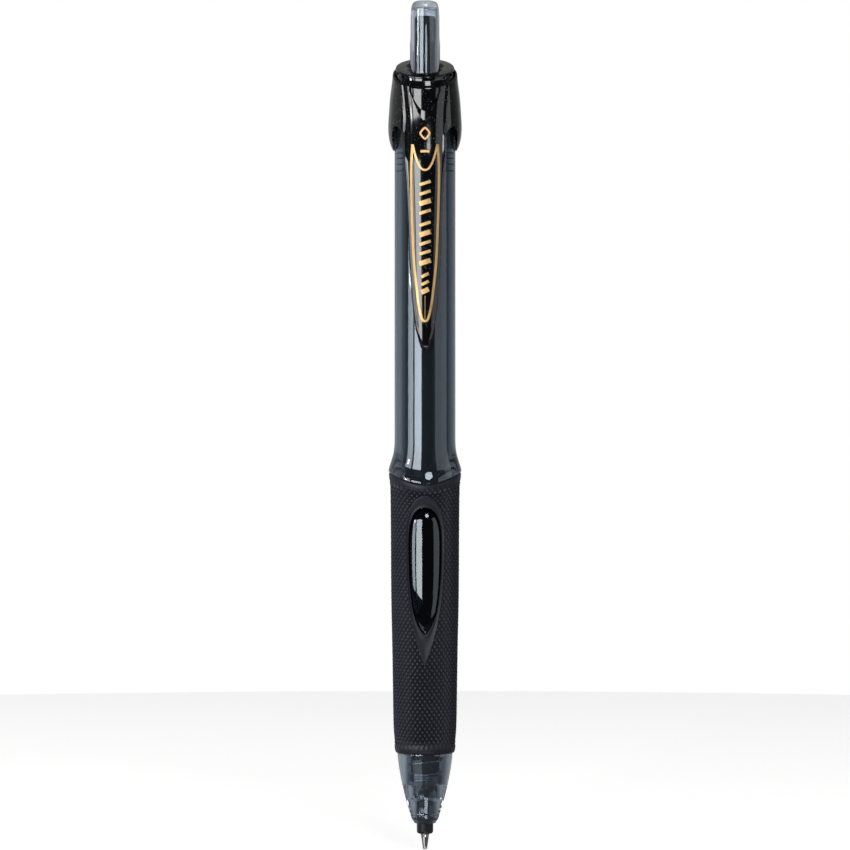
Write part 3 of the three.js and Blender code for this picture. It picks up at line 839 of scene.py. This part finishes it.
def foil_print(width):
    """A long gold loop with a notched top, slanting bars inside it, and a lozenge over a dash."""
    side = [(2.1, 118.75), (2.2, 117.6), (2.33, 114.5), (2.28, 110), (2.17, 106), (1.86, 99), (1.3, 93.6)]
    side += [(0.95, 91.2), (0.5, 89.5), (0, 89.15)]
    notch = [(2.06, 118.7), (1.72, 117.2), (1.2, 115.6), (0.6, 114.65), (0, 114.4)]
    parts = [ribbon(flow(both_sides(side), 10), width), ribbon(flow(both_sides(notch), 8), width * 0.85)]
    heights = [94.2, 95.5, 96.8, 99.0, 100.6, 102.2, 103.8, 105.4, 107.4, 109.0, 110.6, 112.2]
    lean = 0.3
    for i, z in enumerate(heights):
        reach = 0.62 if i < 3 else 0.95
        bar = [(reach * (k / 5 - 1), z + lean * (k / 5 - 1)) for k in range(11)]
        parts.append(ribbon(bar, 0.5 if i % 3 else 0.8))
    turns = [math.tau * i / 48 for i in range(49)]
    lozenge = [(0.8 * pinched(math.cos(turn)), 120.6 + 0.95 * pinched(math.sin(turn))) for turn in turns]
    dash = [(k / 4 - 0.75, 117.55) for k in range(7)]
    hairline = [(0, 89.5 + k * 0.35) for k in range(12)]
    parts += [ribbon(lozenge, 0.3), ribbon(dash, 0.42), ribbon(hairline, 0.07)]
    whole = join(*parts)
    bmesh.ops.remove_doubles(whole, verts=whole.verts, dist=1e-4)
    bmesh.ops.recalc_face_normals(whole, faces=whole.faces)
    for face in whole.faces:
        if face.normal.y > 0:
            face.normal_flip()
    return whole


class PEN_OT_clip(bpy.types.Operator):
    """Clip blade that runs from the rim to its tip, with its scooped recess and gold print"""

    bl_idname = "pen.clip"
    bl_label = "Clip"

    def execute(self, context):
        top = RIM - 0.03
        levels = [CLIP_TIP, CLIP_TIP + 0.05, CLIP_TIP + 0.16, CLIP_TIP + 0.32]
        levels += [CLIP_TIP + 0.5 + i * 0.42 for i in range(111)]
        levels = [z for z in levels if z < top - 0.2] + [top - 0.12, top - 0.03, top]
        loops = []
        for z in levels:
            real = z + SLOPE * along(CLIP_FACE, z) * ease(z, LEAN_FROM, RIM)
            loops.append([sloped(Vector((co.x, co.y, z))) for co in clip_section(real)])
        blade = loft(loops)

        bowls = []
        for reach, low, wide, tall in BOWLS:
            across = [k / BOWL_STEPS for k in range(-BOWL_STEPS, BOWL_STEPS + 1)]
            bowl = [Vector((wide * k, reach, low + tall * k**2)) for k in across]
            ceiling = low + 30
            bowl += [Vector((wide + 0.5, reach, ceiling)), Vector((-wide - 0.5, reach, ceiling))]
            bowls.append(bowl)
        blade = cut(blade, loft(bowls))
        brink = []
        for edge in blade.edges:
            middle = (edge.verts[0].co + edge.verts[1].co) / 2
            sharp = len(edge.link_faces) == 2 and edge.calc_face_angle() > 0.5
            if sharp and 122 < middle.z < 128 and middle.y < -5.4 and abs(middle.x) < 3.1:
                brink.append(edge)
        bmesh.ops.bevel(
            blade,
            geom=brink,
            offset=0.13,
            segments=3,
            profile=0.5,
            affect="EDGES",
            clamp_overlap=True,
            material=-1,
        )
        black = bpy.data.materials["ABS black moulded"]
        obj = piece(blade, "clip_blade", black, stands_for=["clip"], crease=30)
        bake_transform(obj)

        # Hot-stamped gold foil: bright and warm, with the slight unevenness of the stamp.
        gold = metal("Gold foil hot-stamped", colours().foil, 0.55, 0.35, (1, 1, 0.35), 0.003)
        obj = piece(foil_print(mm(sizes().print_width)), "clip_print", gold)
        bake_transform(obj)
        return {"FINISHED"}


# ---- click mechanism -------------------------------------------------------------------------


def toothed(bm, height, sign, hub):
    """Raises a ring of teeth on the face at the height given."""
    for vert in bm.verts:
        if abs(vert.co.z - height) < 1e-3 and math.hypot(vert.co.x, vert.co.y) > hub:
            phase = azimuth(vert.co) / math.tau * 8
            vert.co.z += sign * 0.5 * (1 - 2 * abs(phase - round(phase)))


def keyed(bm, low, high, inner, outer, half, change, offset=0.0):
    """Raises or sinks four keys round a turned part, between two heights and two radii."""
    chosen = []
    for face in bm.faces:
        centre = face.calc_center_median()
        turn = (math.degrees(azimuth(centre)) + offset + 45) % 90 - 45
        if low < centre.z < high and inner < math.hypot(centre.x, centre.y) < outer and abs(turn) < half:
            chosen.append(face)
    raise_faces(bm, chosen, change)


class PEN_OT_click(bpy.types.Operator):
    """Cam sleeve, turning cam, plunger and push button"""

    bl_idname = "pen.click"
    bl_label = "Click mechanism"

    def execute(self, context):
        wall = [(2.86, 114.35), (2.95, 114.2), (3.5, 114.2), (3.6, 114.3)]
        for z in (114.5, 115.6, 116.6, 117.5, 118.4, 119.3):
            wall += [(3.6, z - 0.14), (4.32, z - 0.1), (4.32, z + 0.1), (3.6, z + 0.14)]
        wall += [(3.6, 121), (3.6, 126.7), (4.7, 126.7), (4.7, 127.2), (4.6, 127.3), (2.95, 127.3)]
        sleeve = lathe([*wall, (2.86, 127.2), (2.86, 126.2)], 96)
        keyed(sleeve, 114.4, 126.2, 2.7, 3.0, 16, 0.54)
        acetal = moulded_satin("Acetal guide moulded", colours().guide, 0.38)
        piece(sleeve, "cam_sleeve_body", acetal, "barrel", ["cam_sleeve"])

        stem = [(0, 106.3), (1.8, 106.3), (1.95, 106.4), (2.2, 106.8), (2.2, 109.4), (2.2, 113.1)]
        pin = [(2.2, 113.4), (1.35, 113.4), (1.0, 113.45), (1.0, 117.55), (0.75, 117.95), (0, 118)]
        cam = lathe([*stem, *pin], 96, closed=False)
        keyed(cam, 109.4, 113.1, 2.1, 2.4, 14, 0.55, offset=45)
        toothed(cam, 113.4, 1, 1.2)
        piece(cam, "cam_rotor_body", acetal, "rotor", ["cam_rotor"])

        rod = [(0, 119), (1.25, 119), (1.25, 114.7), (2.4, 114.7), (2.4, 115.7), (2.4, 120.6), (2.4, 125.9)]
        head = [(2.3, 126), (1.81, 126), (1.81, 140.25), (1.77, 140.5), (1.6, 140.75), (1.35, 140.82)]
        head.append((0, 140.82))
        core = lathe([*rod, *head], 96, closed=False)
        keyed(core, 115.7, 120.6, 2.3, 2.5, 13, 0.82)
        toothed(core, 114.7, -1, 1.1)
        satin = moulded_satin("Acetal core moulded", colours().core, 0.4, gloss=0.02)
        piece(core, "plunger_core", satin, "button", ["plunger"])

        skin = [(2.54, 126.35), (2.54, 136), (2.5, 136.6), (2.45, 137.2), (2.43, 140.8), (2.39, 141.4)]
        dome = flow([(2.37, 141.6), (2.3, 142.3), (2.1, 142.95), (1.7, 143.32), (1.0, 143.47), (0, 143.5)], 5)
        roof = [(0, 142.2), (1.3, 142.2), (1.62, 142.1), (1.88, 141.85), (1.95, 141.5), (1.95, 126.4)]
        cap = lathe([(2.0, 126.3), (2.48, 126.3), *skin, *dome, *roof], 96)
        tint = colours().button
        clear = moulded_clear("Polycarbonate button moulded", tint, 0.01, 0.985, 0.0001, gloss=0.25)
        piece(cap, "button_cap_shell", clear, "button", ["button_cap"])
        return {"FINISHED"}


# ---- springs and refill ----------------------------------------------------------------------


def coil(radius, wire, low, high, closed, opened, steps=28, sides=10):
    """A compression spring: closed turns at both ends, open turns between."""
    turns = 2 * closed + opened
    lift = 4 * wire
    bm = bmesh.new()
    ring = bmesh.ops.create_circle(bm, cap_ends=False, radius=wire / 2, segments=sides)["verts"]
    for vert in ring:
        vert.co = Vector((0, vert.co.x - radius, vert.co.y))
    bmesh.ops.spin(
        bm,
        geom=bm.verts[:] + bm.edges[:],
        cent=(0, 0, 0),
        axis=UP,
        dvec=(0, 0, lift / steps),
        angle=math.tau * turns,
        steps=steps * turns,
    )
    bmesh.ops.holes_fill(bm, edges=[e for e in bm.edges if e.is_boundary], sides=sides)
    bmesh.ops.recalc_face_normals(bm, faces=bm.faces)
    tight = wire * 1.12
    first, last = low + wire / 2, high - wire / 2
    open_lift = (last - first - 2 * closed * tight) / opened
    for vert in bm.verts:
        share = azimuth(vert.co) / math.tau
        turn = round(vert.co.z / lift - share) + share
        free = min(max(turn - closed, 0), opened)
        vert.co.z += first + (turn - free) * tight + free * open_lift - turn * lift
    return bm


class PEN_OT_springs(bpy.types.Operator):
    """Return spring in the nose"""

    bl_idname = "pen.springs"
    bl_label = "Return spring"

    def execute(self, context):
        # Drawn spring wire: bright, with a fine even grain.
        wire = metal("Spring steel drawn", colours().wire, 0.16, 0.1, (1, 1, 1), 0.002)
        spring = coil(2.78, mm(sizes().spring_wire), 11.3, 26.9, 3, 6)
        obj = piece(
            spring, "return_spring_coil", wire, stands_for=["return_spring"], crease=60
        )
        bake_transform(obj)
        return {"FINISHED"}


class PEN_OT_refill(bpy.types.Operator):
    """Refill tube, tip holder, turned point and ball"""

    bl_idname = "pen.refill"
    bl_label = "Refill"

    def execute(self, context):
        # Extruded polypropylene: dark and slightly waxy, with a fine even grain.
        wall = [(2.4, 28.5), (2.5, 28.4), (2.95, 28.4), (3.05, 28.55), (3.05, 105.85), (2.95, 106)]
        tube = lathe([*wall, (2.5, 106), (2.4, 105.9)], 64)
        waxy = moulded_satin("Polypropylene tube extruded", colours().cartridge, 0.3, 0.3)
        piece(tube, "refill_tube_body", waxy, "refill", ["refill_tube"])

        nose = [(0.8, 2.76), (0.84, 2.7), (0.98, 2.7), (1.2, 2.76), (1.34, 2.92), (1.4, 3.2), (1.4, 10.2)]
        body = [(1.44, 10.4), (1.8, 10.75), (1.85, 10.95), (1.85, 12.7), (2.35, 13.0), (2.42, 13.3)]
        body += [(2.42, 26.9), (2.5, 27), (2.85, 27), (2.95, 27.1), (2.95, 28.1), (2.2, 28.1)]
        tail = [(2.2, 32.1), (0.9, 32.1), (0.9, 7.8), (0.8, 7.6)]
        holder = lathe([*nose, *body, *tail], 64)
        satin = moulded_satin("Acetal holder moulded", colours().holder, 0.3)
        piece(holder, "tip_holder_body", satin, "refill", ["tip_holder"])

        # Turned stainless steel: bright, with the tool's rings round it.
        steel = metal("Stainless steel turned", colours().steel, 0.12, 0.09, (0.15, 0.15, 1), 0.002)
        cone = [(0.335, 0.2), (0.36, 0.18), (0.385, 0.24), (0.43, 0.6), (0.53, 1.27), (0.62, 1.94)]
        shank = [(0.66, 2.28), (0.7, 2.38), (0.74, 2.46), (0.74, 7.34), (0.7, 7.4), (0.55, 7.4), (0.55, 1.9)]
        seat = [(0.28, 1.4), (0.28, 0.9), (0.39, 0.76), (0.39, 0.38)]
        point = lathe([*cone, *shank, *seat], 48)
        piece(point, "point_cone_body", steel, "refill", ["point_cone"])

        radius = 0.35
        ball = bmesh.new()
        bmesh.ops.create_icosphere(ball, subdivisions=4, radius=radius)
        bmesh.ops.translate(ball, vec=(0, 0, radius), verts=ball.verts)
        # Ground tungsten carbide: dark, dense and mirror-smooth.
        carbide = metal("Tungsten carbide ground", colours().carbide, 0.1, 0.05, (1, 1, 1), 0.0005)
        piece(ball, "writing_ball_body", carbide, "ball", ["writing_ball"])

        finishes = {
            "refill_plug": waxy,
            "ink_column": moulded_clear("Ink oil-based", colours().ink, 0.05),
            "ink_follower": moulded_clear("Grease follower", colours().grease, 0.2),
            "point_spring": bpy.data.materials["Spring steel drawn"],
        }
        for name, material in finishes.items():
            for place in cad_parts[name].material_slots:
                place.material = material
        return {"FINISHED"}


# ---- stage -----------------------------------------------------------------------------------


def panel_light(name, turn, rise, distance, wide, tall, glow, centre=70.0, shape="RECTANGLE"):
    """A softbox that faces the pen from an angle round it, 0 at the camera, and a rise above it.

    Its distance and size are in metres, the height that it faces is in millimetres, and glow is its radiance.
    """
    data = bpy.data.lights.new(name, "AREA")
    data.shape = shape
    data.size, data.size_y = wide, tall
    data.energy = glow * math.pi * wide * tall
    obj = bpy.data.objects.new(name, data)
    a, e = math.radians(turn), math.radians(rise)
    toward = Vector((math.sin(a) * math.cos(e), -math.cos(a) * math.cos(e), math.sin(e)))
    obj.location = Vector((0, 0, centre * MM)) + toward * distance
    obj.rotation_euler = toward.to_track_quat("Z", "Y").to_euler()
    obj.visible_camera = False
    bpy.context.scene.collection.objects.link(obj)


EYE_DISTANCE = 0.7
EYE_HEIGHT = 71.75


class PEN_OT_stage(bpy.types.Operator):
    """Floor, studio light and camera"""

    bl_idname = "pen.stage"
    bl_label = "Stage"

    def execute(self, context):
        scene = context.scene
        scene.view_settings.view_transform = "Standard"
        camera = bpy.data.cameras.new("Camera")
        camera.lens = 175.4
        camera.sensor_width = 36
        camera.clip_start, camera.clip_end = 0.01, 20
        eye = bpy.data.objects.new("Camera", camera)
        eye.location = (0, -EYE_DISTANCE, EYE_HEIGHT * MM)
        eye.rotation_euler = (math.pi / 2, 0, 0)
        scene.collection.objects.link(eye)
        scene.camera = eye

        ground = bmesh.new()
        bmesh.ops.create_circle(ground, cap_ends=True, radius=0.42, segments=96)
        mesh = bpy.data.meshes.new("floor")
        ground.to_mesh(mesh)
        ground.free()
        floor = bpy.data.objects.new("floor", mesh)
        floor.location.z = -0.0002
        scene.collection.objects.link(floor)
        # Uncoated card: matt white, faintly mottled by its fibres.
        material, tree, shader, place = finish("Card uncoated", {"Roughness": 0.9, "Emission Strength": 0.6})
        shader.inputs["Emission Color"].default_value = (1, 1, 1, 1)
        paper = colours().floor
        fibre = spread(tree, noise(tree, place, 0.8, 3.0), 0, 1)
        shaded = tuple(c * 0.97 for c in paper)
        tree.links.new(blended(tree, fibre, shaded, paper), shader.inputs["Base Color"])
        # The card is white to the eye and dull to the pen, so that it doesn't light the point from below.
        dull = node(tree, "ShaderNodeBsdfDiffuse", {"Color": (0.12, 0.12, 0.13, 1)})
        seen = node(tree, "ShaderNodeLightPath").outputs["Is Camera Ray"]
        both = node(tree, "ShaderNodeMixShader", {0: seen, 1: dull.outputs[0], 2: shader.outputs[0]})
        output = next(n for n in tree.nodes if n.type == "OUTPUT_MATERIAL")
        tree.links.new(both.outputs[0], output.inputs["Surface"])
        mesh.materials.append(material)
        # Light from below the card reaches the pen, as it does from a glass table.
        floor.visible_glossy = False
        floor.visible_transmission = False
        floor.visible_shadow = False
        floor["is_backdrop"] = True

        panel_light("Key softbox", -26.5, 8, 0.9, 0.415, 0.42, 10)
        panel_light("Side softbox", -56, 8, 0.9, 0.33, 0.42, 6)
        panel_light("Kicker", -58, 15, 0.9, 0.09, 0.1, 30)
        panel_light("Left wall", -115, 5, 0.9, 1.2, 0.8, 0.3)
        panel_light("Fill panel", 64, 8, 0.9, 0.85, 0.7, 1.1)
        panel_light("Top softbox", 11, 37, 0.9, 0.26, 0.27, 9, shape="ELLIPSE")
        panel_light("Low card", 8, -41, 0.5, 0.17, 0.12, 6, centre=20)
        panel_light("Point card", -36, -22, 0.5, 0.36, 0.14, 1.0, centre=10)

        # The room is dark behind the camera and light behind the pen, and the camera sees it plain white.
        world = bpy.data.worlds.new("Studio")
        world.use_nodes = True
        scene.world = world
        tree = world.node_tree
        tree.nodes.clear()
        look = node(tree, "ShaderNodeTexCoord").outputs["Generated"]
        apart = node(tree, "ShaderNodeSeparateXYZ", {"Vector": look}).outputs
        depth = mapped(tree, apart["Y"], -1.0, 1.0, 0.0, 1.0)
        room = node(tree, "ShaderNodeValToRGB", {"Fac": depth})
        ramp = room.color_ramp.elements
        ramp[0].position, ramp[0].color = 0.0, (0.03, 0.03, 0.035, 1)
        ramp[1].position, ramp[1].color = 1.0, (0.6, 0.62, 0.64, 1)
        for spot, level in ((0.3, 0.03), (0.55, 0.12), (0.78, 0.2), (0.92, 0.42)):
            extra = ramp.new(spot)
            extra.color = (level * 0.97, level * 0.985, level, 1)
        path = node(tree, "ShaderNodeLightPath").outputs["Is Camera Ray"]
        table = mapped(tree, apart["Z"], -0.2, -0.65, 0.0, 0.2)
        lit = blended(tree, table, room.outputs["Color"], (1, 1, 1))
        shade = node(tree, "ShaderNodeBackground", {"Color": lit})
        plain = node(tree, "ShaderNodeBackground", {"Color": (1, 1, 1, 1)})
        mixed = node(tree, "ShaderNodeMixShader", {0: path, 1: shade.outputs[0], 2: plain.outputs[0]})
        node(tree, "ShaderNodeOutputWorld", {"Surface": mixed.outputs[0]})
        return {"FINISHED"}


# ---- add-on ----------------------------------------------------------------------------------

OPERATORS = (
    PEN_OT_stage,
    PEN_OT_barrel,
    PEN_OT_grip,
    PEN_OT_nose,
    PEN_OT_collar,
    PEN_OT_clip,
    PEN_OT_click,
    PEN_OT_springs,
    PEN_OT_refill,
)


class PEN_PT_panel(bpy.types.Panel):
    """Lists the pen's sizes, colours and pieces"""

    bl_label = "Pen"
    bl_idname = "PEN_PT_panel"
    bl_space_type = "VIEW_3D"
    bl_region_type = "UI"
    bl_category = "Pen"

    def draw(self, context):
        for group in (context.scene.pen_sizes, context.scene.pen_colours):
            box = self.layout.box()
            for name in group.bl_rna.properties.keys():
                if name not in ("rna_type", "name"):
                    box.prop(group, name)
        for operator in OPERATORS:
            self.layout.operator(operator.bl_idname)


CLASSES = (PenSizes, PenColours, *OPERATORS, PEN_PT_panel)


def register():
    for cls in CLASSES:
        bpy.utils.register_class(cls)
    bpy.types.Scene.pen_sizes = bpy.props.PointerProperty(type=PenSizes)
    bpy.types.Scene.pen_colours = bpy.props.PointerProperty(type=PenColours)


def unregister():
    del bpy.types.Scene.pen_colours
    del bpy.types.Scene.pen_sizes
    for cls in reversed(CLASSES):
        bpy.utils.unregister_class(cls)


def main():
    register()
    for operator in OPERATORS:
        getattr(bpy.ops.pen, operator.bl_idname.split(".")[1])()
    made = {"cad": CAD_BOX, "visual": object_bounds()}
    {name: [list(corner) for corner in box] for name, box in made.items()}


if __name__ == "__main__":
    main()
